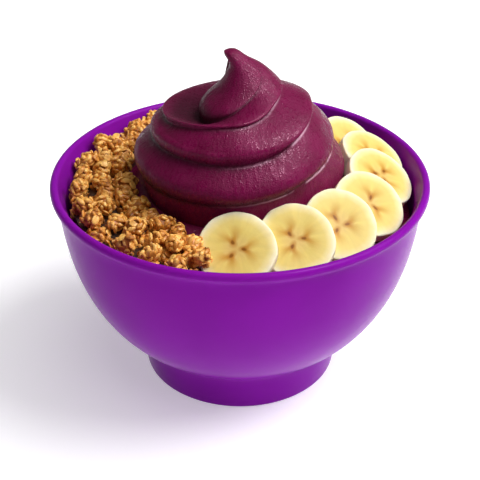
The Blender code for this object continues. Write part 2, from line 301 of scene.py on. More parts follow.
# smooth curve through stations; the first value of each is where it stands
def along(stations, where):
    where = min(max(where, stations[0][0]), stations[-1][0])
    index = 0
    while index < len(stations) - 2 and where > stations[index + 1][0]:
        index += 1
    before, start = stations[max(index - 1, 0)], stations[index]
    end, after = stations[index + 1], stations[min(index + 2, len(stations) - 1)]
    span = end[0] - start[0]
    share = (where - start[0]) / span
    values = []
    for column in range(1, len(start)):
        slopeIn = (end[column] - before[column]) / (end[0] - before[0]) * span
        slopeOut = (after[column] - start[column]) / (after[0] - start[0]) * span
        square, cube = share ** 2, share ** 3
        value = (2 * cube - 3 * square + 1) * start[column] + (cube - 2 * square + share) * slopeIn
        value += (3 * square - 2 * cube) * end[column] + (cube - square) * slopeOut
        values.append(value)
    return values


# point on the rope's outer skin: turn along the coil, share 0 at the lower groove to 1 at the upper one
def ropePoint(turn, share):
    lowR, lowZ, lowSharp = along(swirl["groove"], turn)
    topR, topZ, topSharp = along(swirl["groove"], turn + 1.0)
    wideR, wideZ = along(swirl["crest"], turn)
    if share < 0.4:
        angle = share / 0.4 * math.pi / 2
        radius = lowR + (wideR - lowR) * math.sin(angle)
        height = lowZ + (wideZ - lowZ) * (1 - math.cos(angle))
    else:
        angle = (share - 0.4) / 0.6 * math.pi / 2
        hump = 0.5 * max(0.0, swirl["roundness"] - (topZ - wideZ)) * min(1.0, (wideR - topR) / 8)
        radius = wideR + (topR - wideR) * (1 - math.cos(angle))
        height = wideZ + (topZ - wideZ) * math.sin(angle) + hump * math.sin(2 * angle)
    # softer profile through the same three points, mixed in
    bulge = math.sin(math.pi * share ** 0.8) ** 2
    softRadius = lowR + (topR - lowR) * share + (wideR - lowR - (topR - lowR) * 0.42) * bulge
    softHeight = lowZ + (topZ - lowZ) * share + (wideZ - lowZ - (topZ - lowZ) * 0.42) * bulge
    softness = along(swirl["softness"], turn)[0]
    radius += softness * (softRadius - radius)
    height += softness * (softHeight - height)
    sharp = min(1.0, max(0.0, lowSharp + (topSharp - lowSharp) * share))
    bearing = math.tau * turn
    sunk = along(swirl["sunk"], height)[0] * (1 - 0.6 * max(0.0, -math.sin(bearing)) ** 2)
    radius = max(0.0, radius - sunk * sharp)
    if height > swirl["cone"][0][0]:
        radius = sharp * radius + (1 - sharp) * along(swirl["cone"], height)[0]
    lean = along(swirl["lean"], height)[0]
    return Vector((lean + radius * math.cos(bearing), radius * math.sin(bearing), height)) * mm


def makeSwirl():
    first = swirl["firstTurn"]
    last = swirl["groove"][-1][0]
    columns = int((last - first) * swirl["perTurn"])
    rows = swirl["rows"]
    deselectAll()
    bpy.ops.mesh.primitive_grid_add(x_subdivisions=columns, y_subdivisions=rows, size=2, calc_uvs=True)
    piece = bpy.context.object
    foldShades, grooveHighlights = [], []
    for vert in piece.data.vertices:
        turn = first + round((vert.co.x + 1) / 2 * columns) / swirl["perTurn"]
        share = round((vert.co.y + 1) / 2 * rows) / rows
        vert.co = ropePoint(turn, share)
        # painted shade: wide in the left folds away from the light, slight on the right, and in the hollow
        shaded = 0.5 - 0.5 * math.cos(math.tau * (turn - 0.02))
        below = (0.55 + 0.4 * shaded) * math.exp(-(share / (0.12 + 0.16 * shaded)) ** 2)
        below *= 1 - 0.75 * math.exp(-((turn - 2.5) / 0.25) ** 2)
        above = 0.75 * shaded * math.exp(-((1 - share) / 0.12) ** 2) * (turn < 2.9)
        hollow = 0.8 * math.exp(-((turn - 2.48) / 0.2) ** 2) * min(1.0, max(0.0, (share - 0.3) / 0.35))
        foldShades.append(max(below, above, hollow))
        # painted highlight runs along the upper groove, at the front only
        front = max(0.0, math.cos(math.tau * (turn - 0.89))) ** 4
        grooveHighlights.append(front * math.exp(-((share - 0.97) / 0.028) ** 2) * (-0.4 < turn < 2.0))
    for name, values in (("foldShade", foldShades), ("grooveHighlight", grooveHighlights)):
        layer = piece.data.attributes.new(name, "FLOAT", "POINT")
        layer.data.foreach_set("value", values)
    # the turns meet at the grooves, and both ends are closed
    pick(piece)
    bpy.ops.object.mode_set(mode="EDIT")
    bpy.ops.mesh.select_all(action="SELECT")
    bpy.ops.mesh.remove_doubles(threshold=0.03 * mm)
    bpy.ops.mesh.select_all(action="DESELECT")
    bpy.ops.mesh.select_non_manifold()
    bpy.ops.mesh.fill()
    bpy.ops.mesh.select_all(action="SELECT")
    bpy.ops.mesh.normals_make_consistent(inside=False)
    bpy.ops.object.mode_set(mode="OBJECT")
    return piece


# fill inside the bowl, rising to the coil
def makeFill():
    base = swirl["base"]
    rings = [(1.0 * mm, 11.0 * mm)]
    for height in (12.5, 16.0, 22.0, 31.0, 42.0, 55.0, 66.0):
        rings.append((bodyRadius(height * mm, bowl["wall"]) - 0.5 * mm, height * mm))
    rings.append((base["radius"], base["level"] - 0.6 * mm))
    rings.append((base["radius"] - 0.8 * mm, base["level"]))
    for radius, height in swirl["rise"]:
        rings.append((radius * mm, height * mm))
    rings.append((1.0 * mm, 83.5 * mm))
    return turnSolid(rings, swirl["fillSides"])


# berry puree straight from the freezer: dark wine red in 11 mm patches, wet glints on a frosty skin,
# 7 mm swells, fine drag lines across the rope, ice grains half a millimetre across
def makePuree():
    material, tree, shader = newMaterial("frozenBerryPuree")
    coords = addNode(tree, "ShaderNodeTexCoord")
    place = coords.outputs["Object"]
    patch = addNode(tree, "ShaderNodeTexNoise", {"Scale": 90.0, "Detail": 5.0, "Roughness": 0.6},
                    {"Vector": place})
    tone = addNode(tree, "ShaderNodeValToRGB", None, {"Fac": patch.outputs["Fac"]})
    setStops(tone, ((0.3, "#620433"), (0.7, "#760a43")))
    # painted shade: the folds are darker than the backs of the coils
    foldShade = addNode(tree, "ShaderNodeAttribute", {"attribute_name": "foldShade"})
    shadedTone = addNode(tree, "ShaderNodeMix", {"data_type": "RGBA", 7: linear("#26040f")},
                   {0: foldShade.outputs["Fac"], 6: tone.outputs["Color"]})
    # broken pale line of painted highlight along the folds
    grooveHighlight = addNode(tree, "ShaderNodeAttribute", {"attribute_name": "grooveHighlight"})
    patchy = addNode(tree, "ShaderNodeMapRange", {"From Min": 0.36, "From Max": 0.5},
                     {"Value": patch.outputs["Fac"]})
    highlightLine = addNode(tree, "ShaderNodeMath", {"operation": "MULTIPLY"},
                   {0: grooveHighlight.outputs["Fac"], 1: patchy.outputs["Result"]})
    glint = addNode(tree, "ShaderNodeMix", {"data_type": "RGBA", 7: linear("#e3b3c9")},
                    {0: highlightLine.outputs[0], 6: shadedTone.outputs[2]})
    tree.links.new(glint.outputs[2], shader.inputs["Base Color"])
    # fine wrinkles across the rope where the skin was dragged, about 1 mm apart and 5 mm long
    strip = addNode(tree, "ShaderNodeMapping", {"Scale": (950.0, 4.0, 1.0)},
                    {"Vector": coords.outputs["UV"]})
    drag = addNode(tree, "ShaderNodeTexNoise", {"Scale": 1.0, "Detail": 3.0},
                   {"Vector": strip.outputs["Vector"]})
    grains = addNode(tree, "ShaderNodeTexNoise", {"Scale": 1900.0, "Detail": 2.0}, {"Vector": place})
    soft = addNode(tree, "ShaderNodeTexNoise", {"Scale": 150.0, "Detail": 3.0}, {"Vector": place})
    first = addNode(tree, "ShaderNodeBump", {"Strength": 0.36, "Distance": 0.0005},
                    {"Height": drag.outputs["Fac"]})
    second = addNode(tree, "ShaderNodeBump", {"Strength": 0.42, "Distance": 0.0012},
                     {"Height": soft.outputs["Fac"], "Normal": first.outputs["Normal"]})
    third = addNode(tree, "ShaderNodeBump", {"Strength": 0.6, "Distance": 0.0003},
                    {"Height": grains.outputs["Fac"], "Normal": second.outputs["Normal"]})
    tree.links.new(third.outputs["Normal"], shader.inputs["Normal"])
    # glints show only where a wrinkle is wet; the frost between them scatters the light wide
    mixed = addNode(tree, "ShaderNodeMath", {"operation": "ADD"},
                    {0: drag.outputs["Fac"], 1: grains.outputs["Fac"]})
    wet = addNode(tree, "ShaderNodeMapRange",
                  {"From Min": 0.96, "From Max": 1.14, "To Min": 0.6, "To Max": 0.12},
                  {"Value": mixed.outputs[0]})
    wetter = addNode(tree, "ShaderNodeMath", {"operation": "MULTIPLY_ADD", 1: -0.1},
                     {0: highlightLine.outputs[0], 2: wet.outputs["Result"]})
    tree.links.new(wetter.outputs[0], shader.inputs["Roughness"])
    shader.inputs["IOR"].default_value = 1.32
    shader.inputs["Specular IOR Level"].default_value = 0.5
    shader.inputs["Specular Tint"].default_value = linear("#ffc4de")
    return material


puree = makePuree()
swirlPiece = makeSwirl()
bpy.ops.object.shade_smooth_by_angle(angle=math.radians(60))
finishPiece(swirlPiece, "acaiSwirl", puree, ["acai"])
fillPiece = makeFill()
bpy.ops.object.shade_smooth_by_angle(angle=math.radians(40))
finishPiece(fillPiece, "acaiFill", puree, [])
print("acai piped")


# the banana: seven cut slices in an overlapping row
banana = {
    "radius": 14.6 * mm,
    "thick": 5.4 * mm,
    "edge": 0.7 * mm,
    "sides": 60,
    "faceRings": 4,
    "ringWidth": 2.8 * mm,
    "cutGap": 0.15 * mm,
    # bearing, distance, height, lean bearing, lean elevation, size, turn of the seed marks
    "places": (
        (-91.5, 50.2, 82.7, -96.0, 52.0, 1.00, 60.0),
        (-65.7, 49.4, 83.5, -88.0, 54.0, 1.00, 51.0),
        (-43.7, 51.3, 84.5, -72.0, 54.0, 0.99, 70.0),
        (-23.1, 53.8, 85.0, -54.0, 57.0, 0.99, 10.0),
        (-1.6, 56.0, 86.5, -34.0, 60.0, 0.97, 50.0),
        (14.2, 56.0, 88.0, -24.0, 62.0, 0.96, 95.0),
        (27.6, 50.8, 87.2, -40.0, 50.0, 0.97, 30.0),
    ),
}


def sliceMatrix(entry):
    bearing, distance, height, lean, elevation = entry[:5]
    bearing, lean, elevation = math.radians(bearing), math.radians(lean), math.radians(elevation)
    level = math.cos(elevation)
    facing = Vector((level * math.cos(lean), level * math.sin(lean), math.sin(elevation)))
    place = Vector((distance * mm * math.cos(bearing), distance * mm * math.sin(bearing), height * mm))
    return Matrix.Translation(place) @ facing.to_track_quat("Z", "Y").to_matrix().to_4x4()


# a grown slice, a little larger all round and plain, is what the next ones are cut with
def makeSlice(entry, number, grow=0.0):
    radius = banana["radius"] * entry[5] + grow
    thick = banana["thick"] + 2 * grow
    deselectAll()
    bpy.ops.mesh.primitive_cylinder_add(vertices=banana["sides"], radius=radius, depth=thick,
                                        location=(0, 0, -banana["thick"] / 2))
    piece = bpy.context.object
    settle(piece)
    bpy.ops.object.mode_set(mode="EDIT")
    bpy.ops.mesh.select_all(action="DESELECT")
    bpy.ops.object.mode_set(mode="OBJECT")
    for edge in piece.data.edges:
        a, b = (piece.data.vertices[index].co for index in edge.vertices)
        edge.select = abs(a.z - b.z) < 1e-6
    bpy.ops.object.mode_set(mode="EDIT")
    bpy.ops.mesh.bevel(offset=banana["edge"], segments=3, profile=0.6)
    bpy.ops.object.mode_set(mode="OBJECT")
    if grow == 0.0:
        # rings on both cut faces, so that they can dip and swell
        for side in (1, -1):
            bpy.ops.object.mode_set(mode="EDIT")
            bpy.ops.mesh.select_all(action="DESELECT")
            bpy.ops.object.mode_set(mode="OBJECT")
            for face in piece.data.polygons:
                face.select = face.normal.z * side > 0.95 and len(face.vertices) > 8
            bpy.ops.object.mode_set(mode="EDIT")
            for step in range(banana["faceRings"]):
                bpy.ops.mesh.inset(thickness=banana["ringWidth"])
            bpy.ops.object.mode_set(mode="OBJECT")
        for vert in piece.data.vertices:
            reach = vert.co.xy.length / radius
            side = 1 if vert.co.z > -banana["thick"] / 2 else -1
            if reach < 0.97:
                swell = 0.25 * mm * (1 - reach ** 4) - 0.35 * mm * math.exp(-(reach / 0.22) ** 2)
                uneven = noise.noise(Vector((vert.co.x, vert.co.y, number * 0.05)) * 160) * 0.25 * mm
                vert.co.z += side * (swell + uneven)
    layer = piece.data.uv_layers.active or piece.data.uv_layers.new(name="UVMap")
    turned = math.radians(entry[6])
    for loop in piece.data.loops:
        spot = piece.data.vertices[loop.vertex_index].co
        u = (spot.x * math.cos(turned) - spot.y * math.sin(turned)) / (2 * radius)
        v = (spot.x * math.sin(turned) + spot.y * math.cos(turned)) / (2 * radius)
        layer.data[loop.index].uv = (u + 0.5, v + 0.5)
    # no slice is quite round
    for vert in piece.data.vertices:
        turn = math.atan2(vert.co.y, vert.co.x)
        uneven = 1 + 0.012 * math.cos(3 * turn + number) + 0.008 * math.cos(5 * turn + 2 * number)
        uneven += 0.004 * math.cos(11 * turn + number)
        vert.co.x *= uneven
        vert.co.y *= uneven
    piece.data.transform(sliceMatrix(entry))
    pick(piece)
    bpy.ops.object.mode_set(mode="EDIT")
    bpy.ops.mesh.select_all(action="SELECT")
    bpy.ops.mesh.quads_convert_to_tris()
    bpy.ops.object.mode_set(mode="OBJECT")
    return piece


# ripe banana flesh, knife cut: cream rim, warmer middle, three seed marks with fanned fibres, moist;
# fibres 1.4 mm apart, drawn coarser than real ones so that they show
def makeFlesh():
    material, tree, shader = newMaterial("cutBananaFlesh")
    coords = addNode(tree, "ShaderNodeTexCoord")
    centred = addNode(tree, "ShaderNodeMapping", {"Location": (-1.0, -1.0, 0.0), "Scale": (2.0, 2.0, 1.0)},
                      {"Vector": coords.outputs["UV"]})
    place = coords.outputs["Object"]
    wobble = addNode(tree, "ShaderNodeTexNoise", {"Scale": 170.0, "Detail": 3.0}, {"Vector": place})
    shift = addNode(tree, "ShaderNodeVectorMath", {"operation": "SUBTRACT", 1: (0.5, 0.5, 0.5)},
                    {0: wobble.outputs["Color"]})
    small = addNode(tree, "ShaderNodeVectorMath", {"operation": "SCALE", "Scale": 0.16},
                    {0: shift.outputs[0]})
    spot = addNode(tree, "ShaderNodeVectorMath", {"operation": "ADD"},
                   {0: centred.outputs[0], 1: small.outputs[0]})
    axes = addNode(tree, "ShaderNodeSeparateXYZ", None, {0: spot.outputs[0]})
    flat = addNode(tree, "ShaderNodeCombineXYZ", None, {0: axes.outputs[0], 1: axes.outputs[1]})
    reach = addNode(tree, "ShaderNodeVectorMath", {"operation": "LENGTH"}, {0: flat.outputs[0]})
    turn = addNode(tree, "ShaderNodeMath", {"operation": "ARCTAN2"},
                   {0: axes.outputs[1], 1: axes.outputs[0]})
    # three lobes: each third of the circle folded onto its own middle line, then out and sideways in it
    thirds = addNode(tree, "ShaderNodeMath", {"operation": "MULTIPLY", 1: 3 / math.tau},
                     {0: turn.outputs[0]})
    part = addNode(tree, "ShaderNodeMath", {"operation": "FRACT"}, {0: thirds.outputs[0]})
    folded = addNode(tree, "ShaderNodeMath",
                     {"operation": "MULTIPLY_ADD", 1: math.tau / 3, 2: -math.tau / 6},
                     {0: part.outputs[0]})
    cosine = addNode(tree, "ShaderNodeMath", {"operation": "COSINE"}, {0: folded.outputs[0]})
    sine = addNode(tree, "ShaderNodeMath", {"operation": "SINE"}, {0: folded.outputs[0]})
    outward = addNode(tree, "ShaderNodeMath", {"operation": "MULTIPLY"},
                      {0: reach.outputs["Value"], 1: cosine.outputs[0]})
    across = addNode(tree, "ShaderNodeMath", {"operation": "MULTIPLY"},
                     {0: reach.outputs["Value"], 1: sine.outputs[0]})
    side = addNode(tree, "ShaderNodeMath", {"operation": "ABSOLUTE"}, {0: across.outputs[0]})
    past = addNode(tree, "ShaderNodeMath", {"operation": "SUBTRACT", 1: 0.20}, {0: outward.outputs[0]})
    ring = addNode(tree, "ShaderNodeValToRGB", None, {"Fac": reach.outputs["Value"]})
    setStops(ring, ((0.0, "#dcb768"), (0.14, "#dfbe70"), (0.45, "#e4cb70"), (0.72, "#e8d07a"),
                    (0.86, "#f0dfa0"), (0.965, "#f8edcc")))
    # golden fans that open outward from each seed, a V with arms about 4 mm long
    slant = addNode(tree, "ShaderNodeMath", {"operation": "MULTIPLY_ADD", 1: -0.85},
                    {0: past.outputs[0], 2: side.outputs[0]})
    offArm = addNode(tree, "ShaderNodeMath", {"operation": "ABSOLUTE"}, {0: slant.outputs[0]})
    upArm = addNode(tree, "ShaderNodeMath", {"operation": "MULTIPLY_ADD", 1: 0.85},
                    {0: side.outputs[0], 2: past.outputs[0]})
    width = addNode(tree, "ShaderNodeMath", {"operation": "MULTIPLY_ADD", 1: 0.40, 2: 0.07},
                    {0: upArm.outputs[0]})
    relative = addNode(tree, "ShaderNodeMath", {"operation": "DIVIDE"},
                       {0: offArm.outputs[0], 1: width.outputs[0]})
    fan = addNode(tree, "ShaderNodeMapRange",
                  {"interpolation_type": "SMOOTHSTEP", "From Min": 1.3, "From Max": 0.0},
                  {"Value": relative.outputs[0]})
    armStart = addNode(tree, "ShaderNodeMapRange",
                       {"interpolation_type": "SMOOTHSTEP", "From Min": -0.03, "From Max": 0.05},
                       {"Value": upArm.outputs[0]})
    armEnd = addNode(tree, "ShaderNodeMapRange",
                     {"interpolation_type": "SMOOTHSTEP", "From Min": 0.72, "From Max": 0.10},
                     {"Value": upArm.outputs[0]})
    armBand = addNode(tree, "ShaderNodeMath", {"operation": "MULTIPLY"},
                      {0: armStart.outputs[0], 1: armEnd.outputs[0]})
    streak = addNode(tree, "ShaderNodeMath", {"operation": "MULTIPLY"},
                     {0: fan.outputs[0], 1: armBand.outputs[0]})
    strength = addNode(tree, "ShaderNodeMath", {"operation": "MULTIPLY", 1: 0.82}, {0: streak.outputs[0]})
    warm = addNode(tree, "ShaderNodeMix", {"data_type": "RGBA", 7: linear("#c68a26")},
                   {0: strength.outputs[0], 6: ring.outputs["Color"]})
    # seed marks, long and narrow, just over a millimetre, a fifth of the way out
    stretched = addNode(tree, "ShaderNodeMath", {"operation": "MULTIPLY", 1: 0.6}, {0: past.outputs[0]})
    seedSpot = addNode(tree, "ShaderNodeCombineXYZ", None, {0: stretched.outputs[0], 1: side.outputs[0]})
    seedReach = addNode(tree, "ShaderNodeVectorMath", {"operation": "LENGTH"}, {0: seedSpot.outputs[0]})
    halo = addNode(tree, "ShaderNodeMapRange",
                   {"interpolation_type": "SMOOTHSTEP", "From Min": 0.13, "From Max": 0.02, "To Max": 0.85},
                   {"Value": seedReach.outputs["Value"]})
    golden = addNode(tree, "ShaderNodeMix", {"data_type": "RGBA", 7: linear("#bb7a22")},
                     {0: halo.outputs[0], 6: warm.outputs[2]})
    seed = addNode(tree, "ShaderNodeMapRange",
                   {"interpolation_type": "SMOOTHSTEP", "From Min": 0.055, "From Max": 0.018, "To Max": 0.95},
                   {"Value": seedReach.outputs["Value"]})
    marked = addNode(tree, "ShaderNodeMix", {"data_type": "RGBA", 7: linear("#8a5212")},
                     {0: seed.outputs[0], 6: golden.outputs[2]})
    # faint pale and dark rays
    rays = addNode(tree, "ShaderNodeMath", {"operation": "MULTIPLY", 1: 5.0}, {0: turn.outputs[0]})
    raySpot = addNode(tree, "ShaderNodeCombineXYZ", None, {0: rays.outputs[0], 1: reach.outputs["Value"]})
    ray = addNode(tree, "ShaderNodeTexNoise", {"Scale": 1.0, "Detail": 2.0}, {"Vector": raySpot.outputs[0]})
    rayTone = addNode(tree, "ShaderNodeMapRange",
                      {"From Min": 0.3, "From Max": 0.7, "To Min": 0.955, "To Max": 1.03},
                      {"Value": ray.outputs["Fac"]})
    fleshTone = addNode(tree, "ShaderNodeVectorMath", {"operation": "SCALE"},
                        {0: marked.outputs[2], "Scale": rayTone.outputs["Result"]})
    tree.links.new(fleshTone.outputs[0], shader.inputs["Base Color"])
    fibre = addNode(tree, "ShaderNodeTexNoise", {"Scale": 700.0, "Detail": 3.0}, {"Vector": place})
    bump = addNode(tree, "ShaderNodeBump", {"Strength": 0.25, "Distance": 0.0002},
                   {"Height": fibre.outputs["Fac"]})
    tree.links.new(bump.outputs["Normal"], shader.inputs["Normal"])
    moist = addNode(tree, "ShaderNodeMapRange", {"To Min": 0.38, "To Max": 0.55},
                    {"Value": fibre.outputs["Fac"]})
    tree.links.new(moist.outputs["Result"], shader.inputs["Roughness"])
    shader.inputs["IOR"].default_value = 1.38
    shader.inputs["Subsurface Weight"].default_value = 0.25
    shader.inputs["Subsurface Radius"].default_value = (1.0, 0.7, 0.35)
    shader.inputs["Subsurface Scale"].default_value = 0.002
    shader.inputs["Specular IOR Level"].default_value = 0.15
    return material


flesh = makeFlesh()
slices = []
for number, entry in enumerate(banana["places"]):
    slices.append(makeSlice(entry, number))
# each slice gives way to the two in front that lie on it
for number in range(len(slices) - 1, 0, -1):
    for earlier in range(max(0, number - 2), number):
        cutter = makeSlice(banana["places"][earlier], earlier, banana["cutGap"])
        cut = slices[number].modifiers.new("bite", "BOOLEAN")
        cut.solver = "EXACT"
        cut.use_self = True
        cut.object = cutter
        applyModifiers(slices[number])
        bpy.data.objects.remove(cutter, do_unlink=True)
for number, piece in enumerate(slices):
    pick(piece)
    bpy.ops.object.shade_smooth_by_angle(angle=math.radians(40))
    finishPiece(piece, "bananaSlice%d" % (number + 1), flesh, ["banana_%d" % (number + 1)])
print("banana laid")


# the granola: honey-baked oat clusters over a crumb core, painted dark for the shade in the gaps
granola = {
    "start": math.radians(119.0),
    "end": math.radians(258.0),
    "floor": 71.2 * mm,
    "level": 79.0 * mm,
    # inner edge of the heap: share along it, distance from the axis
    "inner": (
        (0.0, 57.0), (0.15, 56.0), (0.28, 50.5), (0.43, 41.5), (0.6, 40.5), (0.8, 41.0), (0.92, 44.0),
        (1.0, 50.0),
    ),
    "spacing": 10.2 * mm,
    "acrossCount": 3,
    "layers": ((0, 78.8 * mm), (1, 83.4 * mm)),
    "middleRadius": 56.0 * mm,
    "wallLevel": 84.0 * mm,
    "clusterSize": (3.9 * mm, 5.0 * mm),
    "grainsEach": 26,
    # golden angle, in radians: spreads the grains evenly round their lump
    "grainTurn": 2.39996,
    "grainShare": 0.82,
    "grainScale": (0.72, 1.08),
    "lumpShare": 0.76,
    # lumps are browned dark: painted shade in the gaps between their grains
    "lumpShadeToast": 0.2,
    "crumbs": 480,
    "crumbScale": (0.35, 0.8),
}


# share along the heap 0 to 1, share from the swirl to the wall 0 to 1
def heapPoint(lengthwise, across, level):
    bearing = granola["start"] + lengthwise * (granola["end"] - granola["start"])
    inner = along(granola["inner"], lengthwise)[0] * mm
    outer = bodyRadius(level, bowl["wall"]) - 1.0 * mm
    radius = inner + across * (outer - inner)
    return Vector((radius * math.cos(bearing), radius * math.sin(bearing), level))


def makeCore():
    columns, rows = 90, 16
    deselectAll()
    bpy.ops.mesh.primitive_grid_add(x_subdivisions=columns, y_subdivisions=rows, size=2)
    piece = bpy.context.object
    for vert in piece.data.vertices:
        lengthwise, across = (vert.co.x + 1) / 2, (vert.co.y + 1) / 2
        spot = heapPoint(0.02 + 0.96 * lengthwise, 0.03 + 0.92 * across, granola["level"])
        lump = noise.noise(spot * 260) * 1.6 * mm + noise.noise(spot * 700) * 0.5 * mm
        spot.z += lump
        vert.co = spot
    pick(piece)
    bpy.ops.object.mode_set(mode="EDIT")
    bpy.ops.mesh.select_all(action="SELECT")
    depth = granola["level"] - granola["floor"]
    bpy.ops.mesh.extrude_region_move(TRANSFORM_OT_translate={"value": (0, 0, -depth)})
    bpy.ops.transform.resize(value=(1, 1, 0), center_override=(0, 0, granola["floor"]))
    bpy.ops.mesh.select_all(action="SELECT")
    bpy.ops.mesh.normals_make_consistent(inside=False)
    bpy.ops.object.mode_set(mode="OBJECT")
    return piece


# one rolled oat: thin oval, creased along its length and cupped
def makeFlake():
    deselectAll()
    bpy.ops.mesh.primitive_uv_sphere_add(segments=12, ring_count=7, radius=1 * mm)
    piece = bpy.context.object
    for vert in piece.data.vertices:
        x, y, z = vert.co / mm
        crease = 0.35 * math.exp(-(y / 0.28) ** 2) * (1 if z > 0 else -0.3)
        edge = 0.12 * noise.noise(Vector((x * 2, y * 2, 0)))
        vert.co = Vector((x * (2.1 + edge), y * (1.45 + edge), z * 0.55 - crease * 0.5 + 0.22 * y * y)) * mm
    return piece


# one puffed, toasted grain: plump, long, a little bent
def makeGrain():
    deselectAll()
    bpy.ops.mesh.primitive_uv_sphere_add(segments=9, ring_count=6, radius=1 * mm)
    piece = bpy.context.object
    for vert in piece.data.vertices:
        y, z, x = vert.co / mm
        rough = 1 + 0.22 * noise.noise(Vector((x, y, z)) * 1.6)
        vert.co = Vector((x * 1.95, y * 1.0 + 0.18 * x * x, z * 0.85)) * rough * mm
    return piece


# one lump of baked crumbs that holds a cluster together
def makeLump():
    deselectAll()
    bpy.ops.mesh.primitive_ico_sphere_add(subdivisions=4, radius=1 * mm)
    piece = bpy.context.object
    for vert in piece.data.vertices:
        out = vert.co.normalized()
        rough = 1 + 0.22 * noise.noise(out * 1.8) + 0.14 * noise.noise(out * 4.5)
        rough += 0.06 * noise.noise(out * 9)
        vert.co = out * rough * mm
    return piece


# many placed copies of one shape as one mesh; toast is each copy's browning, on the lumps painted shade
def joinCopies(name, shape, placed):
    verts, faces, toastAndShade = [], [], []
    source = shape.data
    cornerSets = [tuple(face.vertices) for face in source.polygons]
    for matrix, brown in placed:
        start = len(verts)
        verts += [matrix @ vert.co for vert in source.vertices]
        toastAndShade += [brown] * len(source.vertices)
        faces += [tuple(start + index for index in corners) for corners in cornerSets]
    mesh = bpy.data.meshes.new(name)
    mesh.from_pydata(verts, [], faces)
    layer = mesh.attributes.new("toastAndShade", "FLOAT", "POINT")
    layer.data.foreach_set("value", toastAndShade)
    mesh.shade_smooth()
    piece = bpy.data.objects.new(name, mesh)
    bpy.context.scene.collection.objects.link(piece)
    bpy.data.objects.remove(shape, do_unlink=True)
    return piece


def randomTurn():
    axis = Vector((chance.uniform(-1, 1), chance.uniform(-1, 1), chance.uniform(-1, 1))).normalized()
    return Matrix.Rotation(chance.uniform(0, math.tau), 4, axis)


def clusterPlaces():
    places = []
    low, high = granola["clusterSize"]
    arc = granola["middleRadius"] * (granola["end"] - granola["start"])
    columns = int(arc / granola["spacing"])
    for layer, level in granola["layers"]:
        for column in range(columns + 1):
            for row in range(granola["acrossCount"]):
                lengthwise = column + 0.5 * (row % 2) + chance.uniform(-0.25, 0.25)
                lengthwise = (lengthwise + 0.4 * layer) / columns
                across = (row + 0.5 + chance.uniform(-0.2, 0.2)) / granola["acrossCount"]
                size = chance.uniform(low, high)
                if not 0.0 <= lengthwise <= 1.0 or (layer and chance.random() < 0.08):
                    continue
                spot = heapPoint(lengthwise, across, level)
                # none reaches into the wall
                reach = spot.xy.length
                most = bodyRadius(granola["wallLevel"], bowl["wall"]) - 1.05 * size
                if reach > most:
                    spot.x *= most / reach
                    spot.y *= most / reach
                spot.z += (chance.uniform(-1.2, 1.0) + 1.2 * across * layer) * mm
                places.append((spot, size, chance.random()))
    return places


# baked oats: toasted gold to brown in 2.4 mm mottles, matt with small honey-glazed spots, 0.7 mm bran grain
def makeToast(name, dark, mid, light):
    material, tree, shader = newMaterial(name)
    place = addNode(tree, "ShaderNodeTexCoord").outputs["Object"]
    # each copy's own browning, on the lumps painted shade
    own = addNode(tree, "ShaderNodeAttribute", {"attribute_name": "toastAndShade"})
    mottle = addNode(tree, "ShaderNodeTexNoise", {"Scale": 420.0, "Detail": 4.0}, {"Vector": place})
    both = addNode(tree, "ShaderNodeMath", {"operation": "MULTIPLY_ADD", 1: 0.55},
                   {0: own.outputs["Fac"], 2: mottle.outputs["Fac"]})
    tone = addNode(tree, "ShaderNodeValToRGB", None, {"Fac": both.outputs[0]})
    setStops(tone, ((0.35, dark), (0.68, mid), (1.0, light)))
    tree.links.new(tone.outputs["Color"], shader.inputs["Base Color"])
    rough = addNode(tree, "ShaderNodeTexNoise", {"Scale": 1500.0, "Detail": 3.0}, {"Vector": place})
    bump = addNode(tree, "ShaderNodeBump", {"Strength": 0.5, "Distance": 0.0003},
                   {"Height": rough.outputs["Fac"]})
    tree.links.new(bump.outputs["Normal"], shader.inputs["Normal"])
    honey = addNode(tree, "ShaderNodeMapRange",
                    {"From Min": 0.45, "From Max": 0.6, "To Min": 0.62, "To Max": 0.36},
                    {"Value": mottle.outputs["Fac"]})
    tree.links.new(honey.outputs["Result"], shader.inputs["Roughness"])
    shader.inputs["IOR"].default_value = 1.45
    return material


def makeGranola():
    lumps, flakes, grains = [], [], []
    for spot, size, brown in clusterPlaces():
        stretch = Vector((chance.uniform(1.05, 1.4), chance.uniform(0.75, 0.95), chance.uniform(0.7, 0.85)))
        frameTurn = randomTurn()
        place = Matrix.Translation(spot) @ frameTurn
        place = place @ Matrix.Diagonal((*(stretch * size / mm * granola["lumpShare"]), 1.0))
        # the lump's dark browning is painted shade between its grains
        lumps.append((place, granola["lumpShadeToast"]))
        for index in range(granola["grainsEach"]):
            height = 1 - 2 * (index + 0.5) / granola["grainsEach"]
            turn = index * granola["grainTurn"] + brown * 6
            flat = math.sqrt(1 - height * height)
            out = Vector((flat * math.cos(turn), flat * math.sin(turn), height))
            base = frameTurn @ Vector((out.x * stretch.x, out.y * stretch.y, out.z * stretch.z))
            point = spot + base * size * chance.uniform(0.66, 0.90)
            tilt = Matrix.Rotation(chance.uniform(-0.55, 0.55), 4, "Y")
            facing = base.normalized().to_track_quat("Z", "Y").to_matrix().to_4x4()
            spin = Matrix.Rotation(chance.uniform(0, math.tau), 4, "Z")
            scale = chance.uniform(*granola["grainScale"])
            matrix = Matrix.Translation(point) @ facing @ spin @ tilt @ Matrix.Scale(scale, 4)
            if chance.random() < granola["grainShare"]:
                grains.append((matrix, min(1.0, brown * 0.3 + chance.uniform(0.2, 0.8))))
            else:
                flakes.append((matrix, chance.uniform(0.3, 1.0)))
    # loose crumbs between the clusters
    for index in range(granola["crumbs"]):
        spot = heapPoint(chance.uniform(0.01, 0.99), chance.uniform(0.03, 0.95), granola["level"])
        spot.z += chance.uniform(0.2, 1.4) * mm
        matrix = Matrix.Translation(spot) @ randomTurn()
        matrix = matrix @ Matrix.Scale(chance.uniform(*granola["crumbScale"]), 4)
        (grains if index % 3 else flakes).append((matrix, chance.uniform(0.0, 0.35)))
    return lumps, flakes, grains


